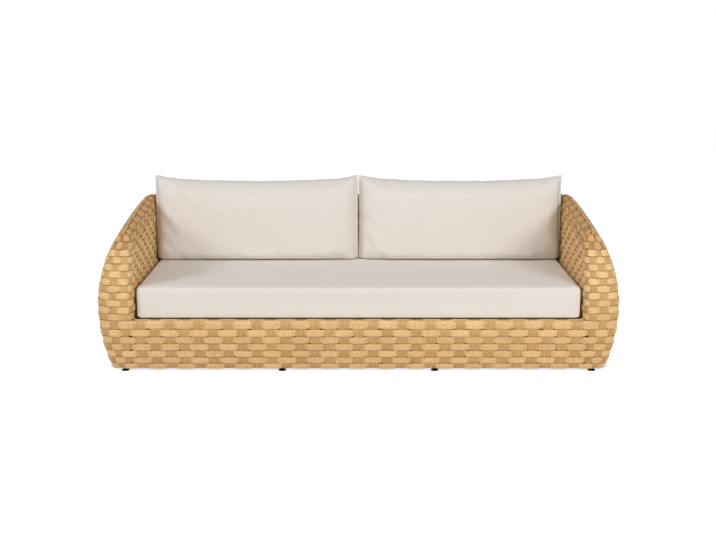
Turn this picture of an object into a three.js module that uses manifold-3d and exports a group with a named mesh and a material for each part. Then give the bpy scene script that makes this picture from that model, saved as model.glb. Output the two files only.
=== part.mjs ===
// A rattan garden sofa: a woven barrel-shaped shell over a tubular aluminium frame,
// with one long seat cushion and two back cushions. Millimetres, +Z up, +Y to the back,
// origin on the floor under the middle of the sofa.
import * as THREE from "three";
import { mergeVertices } from "three/addons/utils/BufferGeometryUtils.js";
import Module from "manifold-3d";

const wasm = await Module();
wasm.setup();

// Driving dimensions: the woven shell
const overallWidth = 2380; // over the bulge of the arms
const overallDepth = 920; // over the bulge of the apron and the back
const skinBottom = 14; // lower edge of the weave
const skin = 9; // thickness of the weave
const bulgeHeight = 294; // where the barrel is widest
const barrelRadius = 795; // of the barrel below its bulge
const shoulderInset = 64; // how far the shoulder under the rolled top stands in from the bulge
const rollOuter = 135; // from the crest line out to the bulge
const rollInner = 36; // from the crest line in to the seat
const noseReach = 110; // from the end of the crest line forward to the bulge
const noseSquareness = 3.2; // exponent of the superellipse in plan
const crestFront = 647; // crest height at the nose
const crestRear = 714; // crest height along the back
const crestRise = 1.4; // how much steeper the crest starts than its mean slope
const rollHeight = 78; // height of the rolled top
const apronTop = 254;
const apronRoll = 14; // radius of the apron's top edge

// Driving dimensions: the weave
const rowPitch = 33; // of the bands, up the face
const columnPitch = 66; // of the staves along the apron and the back
const armColumnPitch = 49; // of the staves along an arm's side
const noseColumnPitch = 52; // round the outer half of the nose
const innerNoseColumnPitch = 43;
const cornerColumnPitch = 54; // round the bulge of a rear corner
const weaveRelief = 4; // from a band down to the staves that it leaves open

// Driving dimensions: the frame
const tubeSize = 25;
const tubeWall = 2;
const tubeChamfer = 3;
const roundTubeRadius = 12.5;
const rodRadius = 6;
const slatThickness = 4;
const slatWidth = 46;
const slatGap = 42;
const baseRailBottom = 16;
const frontCornerRadius = 40; // bend of the front base tube
const armTubeBend = 130;
const bendStub = 6; // straight run past a bend
const weavePlay = 1.8; // between the frame and the weave stretched over it
const legIn = 59; // from the arms' inner faces in to the outer front legs
const armRibY = 150;
const middleFootShare = 0.345; // these four are shares of the way from the middle to the arms
const outerCrossbarShare = 0.677;
const innerBackRibShare = 0.235;
const outerBackRibShare = 0.785;

// Driving dimensions: the feet
const padRadius = 18;
const padThickness = 5;
const padChamfer = 1.5;
const bossRadius = 7;
const studRadius = 4;
const studReach = 15; // how far the stud stands up inside the tube
const studBoreFloor = 3;
const nutAcross = 16;
const nutHeight = 8;
const runningGap = 0.4; // between the stud and its thread

// Driving dimensions: the cushions
const seatThickness = 150;
const seatDepth = 716;
const seatEdge = 22; // radius of the rounded edges
const seatCrown = 9;
const seatDrawIn = 7;
const seatSideGap = 4;
const backCushionGap = 3; // between the two back cushions
const backCushionThickness = 155;
const backCushionHeight = 388; // at the middle of the top edge
const earHeight = 30; // how far the top corners stand above the middle
const earFlare = 5; // how far the outer top corners spread over the arms
const backCushionLean = 34; // how far the middle plane moves back from bottom to top
const backCushionDrawIn = 8;
const backCushionPress = 7; // how much of the lower edge is pressed flat against the seat

const touch = 0.3; // gap between pieces that bear on each other
const overrun = 20; // how far a cutter passes a face
const weldDepth = 0.5; // how far a welded nut sinks into the tube wall
const mergeTolerance = 0.0001;

// Places that follow from the driving dimensions
const halfWidth = overallWidth / 2;
const halfDepth = overallDepth / 2;
const spineX = halfWidth - rollOuter; // crest line of the arms
const spineY = halfDepth - rollOuter; // crest line of the back
const seatSideX = spineX - rollInner; // inner face of the arms
const seatRearY = spineY - rollInner; // inner face of the back
const middleFootX = middleFootShare * seatSideX;
const outerLegX = seatSideX - legIn;
const outerCrossbarX = outerCrossbarShare * seatSideX;
const innerBackRibX = innerBackRibShare * seatSideX;
const outerBackRibX = outerBackRibShare * seatSideX;
const noseY = noseReach - halfDepth; // front end of the crest line
const frontY = -halfDepth;
const deckTop = apronTop; // what the seat cushion lies on
const shellLip = deckTop + touch; // lower edge of the inner walls

const sides = [
  { name: "left", sign: -1 },
  { name: "right", sign: 1 },
];

// Colours of the finishes
const weaveFinish = new THREE.MeshStandardMaterial({ color: 0xd4ad72, roughness: 0.65 });
const clothFinish = new THREE.MeshStandardMaterial({ color: 0xe4dcd3, roughness: 0.9 });
const frameFinish = new THREE.MeshStandardMaterial({ color: 0x6a5a48, roughness: 0.45, metalness: 0.4 });
const padFinish = new THREE.MeshStandardMaterial({ color: 0x161616, roughness: 0.55 });
const steelFinish = new THREE.MeshStandardMaterial({ color: 0xb8bcc0, roughness: 0.3, metalness: 0.9 });

const sofa = new THREE.Group();

// Adds a named sub-part to the sofa.
function place(name, geometry, finish) {
  const mesh = new THREE.Mesh(geometry, finish);
  mesh.name = name;
  sofa.add(mesh);
  return mesh;
}

// Whole numbers from zero up to a count.
function steps(count) {
  return Array.from({ length: count }, (_, i) => i);
}

// Six times the signed volume inside a triangle list.
function signedVolume(positions, triangles) {
  const corner = (i) => new THREE.Vector3().fromArray(positions, 3 * triangles[i]);
  let sum = 0;
  for (let i = 0; i < triangles.length; i += 3) {
    sum += corner(i).dot(corner(i + 1).cross(corner(i + 2)));
  }
  return sum;
}

// Merges shared vertices, drops collapsed triangles and turns the faces outwards.
function closedMesh(geometry) {
  const bare = geometry.clone();
  bare.deleteAttribute("normal");
  bare.deleteAttribute("uv");
  const merged = mergeVertices(bare, mergeTolerance);
  const positions = merged.getAttribute("position").array;
  const corners = merged.getIndex().array;
  const triangles = [];
  for (let i = 0; i < corners.length; i += 3) {
    const [a, b, c] = corners.slice(i, i + 3);
    if (a !== b && b !== c && c !== a) triangles.push(a, b, c);
  }
  if (signedVolume(positions, triangles) < 0) triangles.reverse();
  return { positions: new Float32Array(positions), triangles: new Uint32Array(triangles) };
}

// A closed geometry as a solid that can be joined and cut.
function solidOf(geometry) {
  const { positions, triangles } = closedMesh(geometry);
  return new wasm.Manifold(
    new wasm.Mesh({ numProp: 3, vertProperties: positions, triVerts: triangles }),
  );
}

// A geometry from merged vertices and their triangles.
function indexedGeometry(positions, triangles) {
  const geometry = new THREE.BufferGeometry();
  geometry.setAttribute("position", new THREE.BufferAttribute(positions, 3));
  geometry.setIndex(new THREE.BufferAttribute(triangles, 1));
  geometry.computeVertexNormals();
  return geometry;
}

// The geometry of a solid after its joins and cuts.
function geometryOf(solid) {
  const mesh = solid.getMesh();
  return indexedGeometry(mesh.vertProperties, mesh.triVerts);
}

// A geometry with its vertices merged and its faces outwards, uncut.
function closedGeometry(geometry) {
  const { positions, triangles } = closedMesh(geometry);
  return indexedGeometry(positions, triangles);
}

// A box between two corners.
function boxBetween(low, high) {
  const size = high.map((value, axis) => value - low[axis]);
  const box = new THREE.BoxGeometry(...size);
  box.translate(...high.map((value, axis) => (value + low[axis]) / 2));
  return box;
}

// Joins closed rings of equally many points, one to the next, and caps the first ring. The
// last ring is capped too, or has collapsed onto a ridge where its points pair up. Each facet
// between two rings folds along the diagonal that stands out further.
function loft(rings, capped = false) {
  const count = rings[0].length;
  const last = (rings.length - 1) * count;
  const floor = rings[0].map((point) => new THREE.Vector2(point[0], point[1]));
  const stands = (k) => floor[k].distanceTo(floor[(k + 1) % count]) > mergeTolerance;
  const corners = steps(count).filter(stands);
  const outline = corners.map((k) => floor[k]);
  const clockwise = THREE.ShapeUtils.isClockWise(outline);
  const points = rings.flat().map((point) => new THREE.Vector3(...point));
  const folds = (a, b, above, opposite) => {
    const plane = new THREE.Plane().setFromCoplanarPoints(points[a], points[b], points[above]);
    return plane.distanceToPoint(points[opposite]) > 0 !== clockwise;
  };
  const triangles = [];
  for (const r of steps(rings.length - 1)) {
    for (const k of steps(count)) {
      const a = r * count + k;
      const b = r * count + ((k + 1) % count);
      const above = a + count;
      const opposite = b + count;
      if (folds(a, b, above, opposite)) {
        triangles.push(a, b, opposite, a, opposite, above);
      } else {
        triangles.push(a, b, above, b, opposite, above);
      }
    }
  }
  for (const [a, b, c] of THREE.ShapeUtils.triangulateShape(outline, [])) {
    const along = THREE.ShapeUtils.isClockWise([outline[a], outline[b], outline[c]]) === clockwise;
    const order = (along ? [c, b, a] : [a, b, c]).map((i) => corners[i]);
    triangles.push(...order);
    if (capped) {
      triangles.push(...order.map((i) => i + last).reverse());
    }
  }
  const geometry = new THREE.BufferGeometry();
  geometry.setAttribute("position", new THREE.Float32BufferAttribute(rings.flat(2), 3));
  geometry.setIndex(triangles);
  return geometry;
}

// Radius of the barrel above its bulge, which reaches the shoulder inset under any crest.
function upperRadius(crest) {
  const rise = crest - rollHeight - bulgeHeight;
  return (rise ** 2 + shoulderInset ** 2) / (2 * shoulderInset);
}

// How far the barrel stands in from its bulge at a height.
function inset(height, crest = crestFront) {
  const radius = height < bulgeHeight ? barrelRadius : upperRadius(crest);
  return radius - Math.sqrt(radius ** 2 - (height - bulgeHeight) ** 2);
}

// How fast the barrel leans in where it reaches the shoulder.
function shoulderSlope(crest) {
  const rise = crest - rollHeight - bulgeHeight;
  return rise / Math.sqrt(upperRadius(crest) ** 2 - rise ** 2);
}

// Height of the crest line at a place from front to back.
function crestHeight(y) {
  const share = THREE.MathUtils.clamp((y - noseY) / (seatRearY - noseY), 0, 1);
  const eased = share * (crestRise + (1 - crestRise) * share);
  return THREE.MathUtils.lerp(crestFront, crestRear, eased);
}

// Rows of the weave: those of the apron run level round the sofa, those above fan out under
// the rising crest, and the last ones lie over the roll.
const levelRows = Math.round((apronTop - skinBottom) / rowPitch);
const levelTop = skinBottom + levelRows * rowPitch;
const fannedRows = Math.round((crestFront - rollHeight - levelTop) / rowPitch);
const rollRows = Math.round((rollHeight + rollInner) / rowPitch);
const shoulderRow = levelRows + fannedRows;
const crestRow = shoulderRow + rollRows;

// Levels of the weave, one at the middle of each row, and plainer ones for the hollow inside.
const weaveLevels = [
  0,
  ...steps(shoulderRow).map((row) => row + 1 / 2),
  shoulderRow,
  ...steps(rollRows).map((row) => shoulderRow + row + 1 / 2),
  crestRow,
];
const hollowBarrelLevels = 9;
const hollowRollLevels = 5;
const hollowLevels = [
  ...steps(hollowBarrelLevels + 1).map((i) => (shoulderRow * i) / hollowBarrelLevels),
  ...steps(hollowRollLevels).map((i) => shoulderRow + (rollRows * (i + 1)) / hollowRollLevels),
];

// Height of a row under a shoulder.
function rowHeight(row, bottom, shoulder) {
  const low = THREE.MathUtils.lerp(bottom, levelTop, Math.min(row / levelRows, 1));
  return THREE.MathUtils.lerp(low, shoulder, THREE.MathUtils.clamp((row - levelRows) / fannedRows, 0, 1));
}

// How far the weave lies in from the shell's face: not at all where a band passes over a
// stave, and by its full relief where the band passes under and leaves the stave open.
function weaveRecess(column, row) {
  return (weaveRelief / 2) * (1 - Math.cos(Math.PI * (column + row - 1 / 2)));
}

// A quadratic curve between two values, drawn towards a third.
function drawn(from, towards, to, share) {
  return from * (1 - share) ** 2 + 2 * towards * share * (1 - share) + to * share ** 2;
}

// A point of the shell above a plan station, drawn in by a wall thickness. Above the shoulder
// the face carries on at its slope and rolls over to the crest line.
function shellPoint(station, row, wall, bottom) {
  const crest = crestHeight(station.y);
  const shoulder = crest - rollHeight;
  const over = Math.max(row - shoulderRow, 0) / rollRows;
  const straight = rowHeight(row, bottom, shoulder);
  const woven = wall === 0 && !station.plain && over < 1;
  const recess = woven ? weaveRecess(station.column, row) : 0;
  const height = drawn(straight, crest - wall, crest - wall, over) - recess * over;
  const lean = (rollHeight - wall) * shoulderSlope(crest);
  const rolled = (width, slope) => drawn(width, width - slope, 0, over) - recess * (1 - over);
  const outside = rollOuter - inset(straight, crest) - wall;
  const across = station.inner ? rolled(rollInner - wall, 0) : rolled(outside, lean);
  const ahead = station.nose ? rolled(outside - rollOuter + noseReach, lean) : across;
  return [station.x + across * station.dirX, station.y + ahead * station.dirY, height];
}

// The closed form over a loop of plan stations.
function shellForm(stations, levels, wall, bottom) {
  return loft(levels.map((row) => stations.map((station) => shellPoint(station, row, wall, bottom))));
}

// A quarter of the nose's outline, from its front round to the side.
class NoseQuarter extends THREE.Curve {
  constructor(reach) {
    super();
    this.reach = reach;
  }
  getPoint(t) {
    const { ahead, aside } = noseDirection(t);
    return new THREE.Vector3(this.reach * aside, noseReach * ahead, 0);
  }
}
function noseDirection(t) {
  const turn = (t * Math.PI) / 2;
  const power = 2 / noseSquareness;
  return { ahead: Math.cos(turn) ** power, aside: Math.sin(turn) ** power };
}

// Columns of the weave: none at the middle of the nose's front, then more along the outside,
// and fewer than none along the inside.
const outerNoseColumns = Math.round(new NoseQuarter(rollOuter).getLength() / noseColumnPitch);
const innerNoseColumns = Math.round(new NoseQuarter(rollInner).getLength() / innerNoseColumnPitch);
const sideColumns = Math.round((seatRearY - noseY) / armColumnPitch);
const cornerColumns = Math.round(((rollOuter + rollInner) * Math.PI) / 2 / cornerColumnPitch);
const backColumns = Math.round(seatSideX / columnPitch); // in each half of the back
const apronColumns = Math.round(spineX / columnPitch); // in each half of the apron

// Plan stations round an arm: forward along its inner face, round the nose, back outside.
const noseStationsPerColumn = 2;
function armStations(sign, beyond, runSteps) {
  const rear = seatRearY - touch / 2 + beyond;
  const run = (columns, dirX, inner) =>
    steps(runSteps + 1).map((i) => ({
      x: sign * spineX,
      y: THREE.MathUtils.lerp(noseY, rear, i / runSteps),
      column: columns + (sideColumns * i) / runSteps,
      dirX,
      dirY: 0,
      inner,
    }));
  const quarter = (columns, reach, dirX, inner) => {
    const count = columns * noseStationsPerColumn;
    const outline = new NoseQuarter(reach);
    return steps(count).map((i) => {
      const { ahead, aside } = noseDirection(outline.getUtoTmapping(i / count));
      const column = i / noseStationsPerColumn;
      return { x: sign * spineX, y: noseY, column, dirX: dirX * aside, dirY: -ahead, inner, nose: true };
    });
  };
  const inside = [
    ...quarter(innerNoseColumns, rollInner, -sign, true).slice(1),
    ...run(innerNoseColumns, -sign, true),
  ];
  const outside = [
    ...quarter(outerNoseColumns, rollOuter, sign, false),
    ...run(outerNoseColumns, sign, false),
  ];
  return [...inside.reverse(), ...outside];
}

// Plan stations round the back: one corner to the other inside, and back again outside.
function backStations(beyond, cornerSteps, runSteps) {
  const first = outerNoseColumns + sideColumns;
  const corner = (sign) => [
    { x: sign * spineX, y: seatRearY + touch / 2 - beyond, column: first, dirX: sign, dirY: 0 },
    ...steps(cornerSteps).map((i) => {
      const turn = ((i + 1) / cornerSteps) * (Math.PI / 2);
      return {
        x: sign * (seatSideX + rollInner * Math.cos(turn)),
        y: seatRearY + rollInner * Math.sin(turn),
        column: first + (cornerColumns * (i + 1)) / cornerSteps,
        dirX: sign * Math.cos(turn),
        dirY: Math.sin(turn),
      };
    }),
  ];
  const run = steps(runSteps - 1).map((i) => ({
    x: THREE.MathUtils.lerp(-seatSideX, seatSideX, (i + 1) / runSteps),
    y: spineY,
    column: first + cornerColumns + (2 * backColumns * (i + 1)) / runSteps,
    dirX: 0,
    dirY: 1,
  }));
  const outside = [...corner(-1), ...run, ...corner(1).reverse()];
  const inside = outside.map((s) => ({ ...s, dirX: -s.dirX, dirY: -s.dirY, inner: true, plain: true }));
  return [...inside, ...outside.reverse()];
}

// A hollow woven shell: the form less the form drawn in by the skin, less what a box takes.
const flatTolerance = 0.001;
const hollowTolerance = 0.25;
function wovenShell(woven, plain, cutter) {
  const outer = solidOf(shellForm(woven, weaveLevels, 0, skinBottom));
  const drawnIn = solidOf(shellForm(plain, hollowLevels, skin, skinBottom - overrun));
  const hollow = drawnIn.simplify(hollowTolerance);
  return geometryOf(outer.subtract(hollow).subtract(solidOf(cutter)).simplify(flatTolerance));
}

// The arms stop above the deck on their inner side, where the apron and the seat frame pass.
const hollowArmSteps = 4;
for (const { name, sign } of sides) {
  const reach = [sign * spineX, sign * (seatSideX - overrun)].sort((a, b) => a - b);
  const cutter = boxBetween(
    [reach[0], frontY - overrun, skinBottom - overrun],
    [reach[1], seatRearY + overrun, shellLip],
  );
  const woven = armStations(sign, 0, sideColumns);
  const plain = armStations(sign, overrun, hollowArmSteps);
  place("woven_arm_" + name, wovenShell(woven, plain, cutter), weaveFinish);
}

const backCutter = boxBetween(
  [-seatSideX - skin, seatRearY - overrun, skinBottom - overrun],
  [seatSideX + skin, seatRearY + skin + overrun, shellLip],
);
const wovenBack = backStations(0, cornerColumns, 2 * backColumns);
const plainBack = backStations(overrun, cornerColumns, 1);
place("woven_back", wovenShell(wovenBack, plainBack, backCutter), weaveFinish);

// The apron: a barrel front that rolls over the front seat rail and ends behind it.
const seatRailInset = inset(apronTop - skin - touch - tubeSize) + skin + touch;
const seatRailFrontY = frontY + seatRailInset; // front face of the front seat rail
const seatRailFrontBack = seatRailFrontY + tubeSize;
const apronRailTop = apronTop - skin - touch;
const apronRollSteps = 4;
function apronFace(column, wall) {
  const rollBase = apronTop - apronRoll;
  const radius = apronRoll - wall;
  const rows = [0, ...steps(levelRows).map((row) => row + 1 / 2)];
  const face = rows.map((row) => {
    const height = skinBottom + row * rowPitch;
    const recess = wall === 0 && row > 0 ? weaveRecess(column, row) : 0;
    return [frontY + inset(height) + wall + recess, height];
  });
  const rollCentreY = frontY + inset(rollBase) + apronRoll;
  const roll = steps(apronRollSteps + 1).map((i) => {
    const turn = (i / apronRollSteps) * (Math.PI / 2);
    return [rollCentreY - radius * Math.cos(turn), rollBase + radius * Math.sin(turn)];
  });
  return [...face, ...roll, [seatRailFrontBack, apronTop - wall]];
}
const apronLength = 2 * spineX - touch;
const apronRings = steps(2 * apronColumns + 1).map((i) => {
  const column = i - apronColumns;
  const along = (apronLength * column) / (2 * apronColumns);
  const profile = [...apronFace(column, skin), ...apronFace(column, 0).reverse()];
  return profile.map(([ahead, height]) => [ahead, height, along]);
});

// Turns a loft drawn with (y, z) as its plan and x as its height to stand across the sofa.
function acrossSofa(geometry) {
  return geometry.applyMatrix4(new THREE.Matrix4().set(0, 0, 1, 0, 1, 0, 0, 0, 0, 1, 0, 0, 0, 0, 0, 1));
}
const apron = solidOf(acrossSofa(loft(apronRings, true))).simplify(flatTolerance);
place("woven_front_apron", geometryOf(apron), weaveFinish);

// A path whose extrusion steps fall on its own points, so a straight run costs one step.
class StationPath extends THREE.Curve {
  constructor(points) {
    super();
    this.points = points;
  }
  getPoint(t) {
    const along = t * (this.points.length - 1);
    const start = Math.min(Math.floor(along), this.points.length - 2);
    return this.points[start].clone().lerp(this.points[start + 1], along - start);
  }
  getPointAt(u) {
    return this.getPoint(u);
  }
  getTangentAt(u) {
    const here = Math.round(u * (this.points.length - 1));
    const before = this.points[Math.max(here - 1, 0)];
    const after = this.points[Math.min(here + 1, this.points.length - 1)];
    const back = this.points[here].clone().sub(before).normalize();
    return after.clone().sub(this.points[here]).normalize().add(back).normalize();
  }
}

// A section carried along a list of points.
function alongPoints(section, points) {
  const path = new StationPath(points);
  return new THREE.ExtrudeGeometry(section, { extrudePath: path, steps: points.length - 1 });
}

// Points of an arc in the plan, at one height, between two turns.
function planArc(centreX, centreY, radius, from, to, height, count) {
  return steps(count + 1).map((i) => {
    const turn = THREE.MathUtils.lerp(from, to, i / count);
    return new THREE.Vector3(centreX + radius * Math.cos(turn), centreY + radius * Math.sin(turn), height);
  });
}

// The chamfered square section of the rails, hollow.
function railSection() {
  const half = tubeSize / 2;
  const flat = half - tubeChamfer;
  const centre = new THREE.Vector2();
  const quarter = [
    [half, -flat],
    [half, flat],
  ];
  const outline = steps(4).flatMap((turn) =>
    quarter.map((corner) => new THREE.Vector2(...corner).rotateAround(centre, (turn * Math.PI) / 2)),
  );
  const section = new THREE.Shape(outline);
  const bore = half - tubeWall;
  section.holes.push(
    new THREE.Path([
      new THREE.Vector2(bore, bore),
      new THREE.Vector2(bore, -bore),
      new THREE.Vector2(-bore, -bore),
      new THREE.Vector2(-bore, bore),
    ]),
  );
  return section;
}

// A round section, hollow where a bore is given.
const roundSides = 12;
function roundSection(radius, bore = 0, sidesRound = roundSides) {
  const circle = (r) =>
    steps(sidesRound).map((i) => {
      const turn = (2 * Math.PI * i) / sidesRound;
      return new THREE.Vector2(r * Math.cos(turn), r * Math.sin(turn));
    });
  const section = new THREE.Shape(circle(radius));
  if (bore > 0) section.holes.push(new THREE.Path(circle(bore).reverse()));
  return section;
}

const squareTube = railSection();
const roundTube = roundSection(roundTubeRadius, roundTubeRadius - tubeWall);
const roundTubeClear = roundSection(roundTubeRadius + touch);
const rodSides = 8;
const rod = roundSection(rodRadius, 0, rodSides);

// Centre lines of the base ring, which stands just inside the lower edge of the weave.
const baseRailTop = baseRailBottom + tubeSize;
const baseRailZ = baseRailBottom + tubeSize / 2;
const baseRailIn = inset(baseRailBottom) + skin + weavePlay + tubeSize / 2;
const baseRailX = halfWidth - baseRailIn;
const baseRailY = halfDepth - baseRailIn;
const frontBendX = baseRailX - frontCornerRadius;
const frontBendY = frontCornerRadius - baseRailY;
const bendSteps = 5;
const rearCornerRadius = baseRailX - seatSideX;

// A bent member's centre line, with its first and last points carried on straight.
function withStubs(points, stub) {
  const ahead = new THREE.Vector3(0, stub, 0);
  return [points[0].clone().add(ahead), ...points, points.at(-1).clone().add(ahead)];
}
const frontBasePath = withStubs(
  [
    ...planArc(-frontBendX, frontBendY, frontCornerRadius, -Math.PI, -Math.PI / 2, baseRailZ, bendSteps),
    ...planArc(frontBendX, frontBendY, frontCornerRadius, -Math.PI / 2, 0, baseRailZ, bendSteps),
  ],
  bendStub,
);
const rearBasePath = withStubs(
  [
    ...planArc(-seatSideX, seatRearY, rearCornerRadius, Math.PI, Math.PI / 2, baseRailZ, bendSteps),
    ...planArc(seatSideX, seatRearY, rearCornerRadius, Math.PI / 2, 0, baseRailZ, bendSteps),
  ],
  -bendStub,
);

// A threaded boss for a foot: a nut welded on the tube's floor, and the hole through both.
const nutFloor = baseRailBottom + tubeWall - weldDepth;
const holeSides = 12;
const nutSides = 6;
const holeRadius = (studRadius + runningGap) / Math.cos(Math.PI / holeSides);
function uprightCylinder(radius, bottom, top, sidesRound, x, y) {
  const cylinder = new THREE.CylinderGeometry(radius, radius, top - bottom, sidesRound);
  cylinder.rotateX(Math.PI / 2);
  cylinder.translate(x, y, (top + bottom) / 2);
  return cylinder;
}
function withFootBosses(rail, footPlaces) {
  let solid = solidOf(rail);
  for (const [x, y] of footPlaces) {
    const nutRadius = nutAcross / 2 / Math.cos(Math.PI / nutSides);
    const nutTop = nutFloor + nutHeight;
    const hole = uprightCylinder(holeRadius, baseRailBottom - overrun, nutTop + tubeWall, holeSides, x, y);
    solid = solid.add(solidOf(uprightCylinder(nutRadius, nutFloor, nutTop, nutSides, x, y)));
    solid = solid.subtract(solidOf(hole));
  }
  return geometryOf(solid);
}

const frontFeet = [-frontBendX, -middleFootX, middleFootX, frontBendX].map((x) => [x, -baseRailY]);
const rearFeet = [-seatSideX, -middleFootX, middleFootX, seatSideX].map((x) => [x, baseRailY]);
place("base_rail_front", withFootBosses(alongPoints(squareTube, frontBasePath), frontFeet), frameFinish);
place("base_rail_rear", withFootBosses(alongPoints(squareTube, rearBasePath), rearFeet), frameFinish);

// A straight length of square tube between two points.
function straightTube(name, from, to) {
  const points = [new THREE.Vector3(...from), new THREE.Vector3(...to)];
  place(name, closedGeometry(alongPoints(squareTube, points)), frameFinish);
}

for (const { name, sign } of sides) {
  straightTube(
    "base_rail_" + name,
    [sign * baseRailX, frontBendY + bendStub + touch, baseRailZ],
    [sign * baseRailX, seatRearY - bendStub - touch, baseRailZ],
  );
  const crossEnd = baseRailY - tubeSize / 2 - touch;
  straightTube(
    "base_crossbar_" + name,
    [sign * middleFootX, -crossEnd, baseRailZ],
    [sign * middleFootX, crossEnd, baseRailZ],
  );
}

// The seat ring, whose rails carry the slat panel; the front one lies inside the apron's roll.
const railTop = deckTop - slatThickness - touch;
const railZ = railTop - tubeSize / 2;
const apronRailZ = apronRailTop - tubeSize / 2;
const seatRailX = spineX - roundTubeRadius - touch - tubeSize / 2;
const seatRailRearY = spineY - roundTubeRadius - touch - tubeSize / 2;
const seatRailFrontMidY = seatRailFrontY + tubeSize / 2;
const seatFrontStart = seatRailFrontBack + touch;
const seatRearEnd = seatRailRearY - tubeSize / 2 - touch;
const seatRingX = seatRailX + tubeSize / 2;
const frontRailEnd = [spineX, seatRailFrontMidY, apronRailZ];
straightTube("seat_rail_front", [-spineX, seatRailFrontMidY, apronRailZ], frontRailEnd);
straightTube("seat_rail_rear", [-seatRingX, seatRailRearY, railZ], [seatRingX, seatRailRearY, railZ]);
for (const { name, sign } of sides) {
  const railFrom = [sign * seatRailX, seatFrontStart, railZ];
  straightTube("seat_rail_" + name, railFrom, [sign * seatRailX, seatRearEnd, railZ]);
  const bars = [
    ["inner", middleFootX],
    ["outer", outerCrossbarX],
  ];
  for (const [where, x] of bars) {
    const from = [sign * x, seatFrontStart, railZ];
    straightTube("seat_crossbar_" + where + "_" + name, from, [sign * x, seatRearEnd, railZ]);
  }
}

// The slat panel: one sheet with windows, which leave slats running from arm to arm.
const panelX = seatSideX + skin;
const panelFrontY = seatFrontStart;
const panelRearY = seatRearY + skin;
const crossStripX = [-panelX, -outerCrossbarX, -middleFootX, 0, middleFootX, outerCrossbarX, panelX];
const stripEdge = (x) => (Math.abs(x) === panelX ? tubeSize : tubeSize / 2);
const slatCount = Math.floor((panelRearY - panelFrontY + slatGap) / (slatWidth + slatGap));
const slatPitch = (panelRearY - panelFrontY - slatWidth) / (slatCount - 1);
const panelBottom = railTop + touch;
let panel = solidOf(boxBetween([-panelX, panelFrontY, panelBottom], [panelX, panelRearY, deckTop]));
for (const row of steps(slatCount - 1)) {
  const low = panelFrontY + row * slatPitch + slatWidth;
  const high = panelFrontY + (row + 1) * slatPitch;
  for (const column of steps(crossStripX.length - 1)) {
    const left = crossStripX[column] + stripEdge(crossStripX[column]);
    const right = crossStripX[column + 1] - stripEdge(crossStripX[column + 1]);
    const window = boxBetween([left, low, panelBottom - overrun], [right, high, deckTop + overrun]);
    panel = panel.subtract(solidOf(window));
  }
}
place("seat_slat_panel", geometryOf(panel), frameFinish);

// Top tubes: each arm's tube is also its front post. It meets the back's tube in the middle of
// the corner's bend.
function topTubeZ(y) {
  return crestHeight(y) - skin - weavePlay - roundTubeRadius;
}
const armBendY = armTubeBend - baseRailY;
const armRunSteps = 5;
const backTubeZ = topTubeZ(spineY);
const cornerArc = planArc(seatSideX, seatRearY, rollInner, 0, Math.PI / 2, backTubeZ, bendSteps);
function onSide(sign, points) {
  return points.map(({ x, y, z }) => new THREE.Vector3(sign * x, y, z));
}
function armTubePoints(sign) {
  const bendTop = topTubeZ(armBendY);
  const bend = steps(bendSteps).map((i) => {
    const turn = (i / bendSteps) * (Math.PI / 2);
    return [armBendY - armTubeBend * Math.cos(turn), bendTop - armTubeBend * (1 - Math.sin(turn))];
  });
  const run = steps(armRunSteps).map((i) => {
    const y = THREE.MathUtils.lerp(armBendY, seatRearY, i / armRunSteps);
    return [y, topTubeZ(y)];
  });
  const profile = [[-baseRailY, baseRailTop + touch], ...bend, ...run];
  const arm = profile.map(([y, z]) => new THREE.Vector3(spineX, y, z));
  return onSide(sign, [...arm, ...cornerArc]);
}
const backTubePoints = [...onSide(-1, cornerArc), ...onSide(1, cornerArc).reverse()];

// The room about one half of a corner's bend: the arm's half, or the back's.
function bendHalf(sign, half) {
  const size = 4 * rollInner;
  const reach = (half * (size - touch)) / 2;
  const turn = Math.PI / 4;
  const box = new THREE.BoxGeometry(size, size, size);
  box.rotateZ(turn);
  const x = seatSideX - reach * Math.sin(turn);
  box.translate(sign * x, seatRearY + reach * Math.cos(turn), backTubeZ);
  return solidOf(box);
}
const armHalf = -1;
const backHalf = 1;
let backTube = solidOf(alongPoints(roundTube, backTubePoints));
for (const { name, sign } of sides) {
  const armTube = solidOf(alongPoints(roundTube, armTubePoints(sign)));
  place("arm_tube_" + name, geometryOf(armTube.subtract(bendHalf(sign, backHalf))), frameFinish);
  backTube = backTube.subtract(bendHalf(sign, armHalf));
}
place("back_top_tube", geometryOf(backTube), frameFinish);

// What the ends of rods are coped with, so that they meet the round tubes.
const armCopes = sides.map(({ sign }) => solidOf(alongPoints(roundTubeClear, armTubePoints(sign))));
const backCope = solidOf(alongPoints(roundTubeClear, backTubePoints));

// Outer ribs bow out from the base ring, lie behind the weave and end under a top tube.
const ribBulge = rollOuter - skin - weavePlay - rodRadius; // from the crest line
const ribFoot = rollOuter - baseRailIn; // from the crest line, over the base rail
const ribRise = bulgeHeight - baseRailTop;
const ribSwing = ribBulge - ribFoot;
const ribRadius = (ribRise ** 2 + ribSwing ** 2) / (2 * ribSwing);
const ribSteps = 9;
function ribOut(height) {
  const drop = ribRadius - Math.sqrt(ribRadius ** 2 - (height - bulgeHeight) ** 2);
  return Math.max(0, ribBulge - drop);
}
function ribProfile(top) {
  return steps(ribSteps + 1).map((i) => {
    const height = THREE.MathUtils.lerp(baseRailTop + touch, top, i / ribSteps);
    return [ribOut(height), height];
  });
}
function ribSolid(points, cope) {
  const bottomCut = boxBetween(
    [-halfWidth, -halfDepth, baseRailTop + touch - overrun],
    [halfWidth, halfDepth, baseRailTop + touch],
  );
  return geometryOf(solidOf(alongPoints(rod, points)).subtract(cope).subtract(solidOf(bottomCut)));
}
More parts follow.
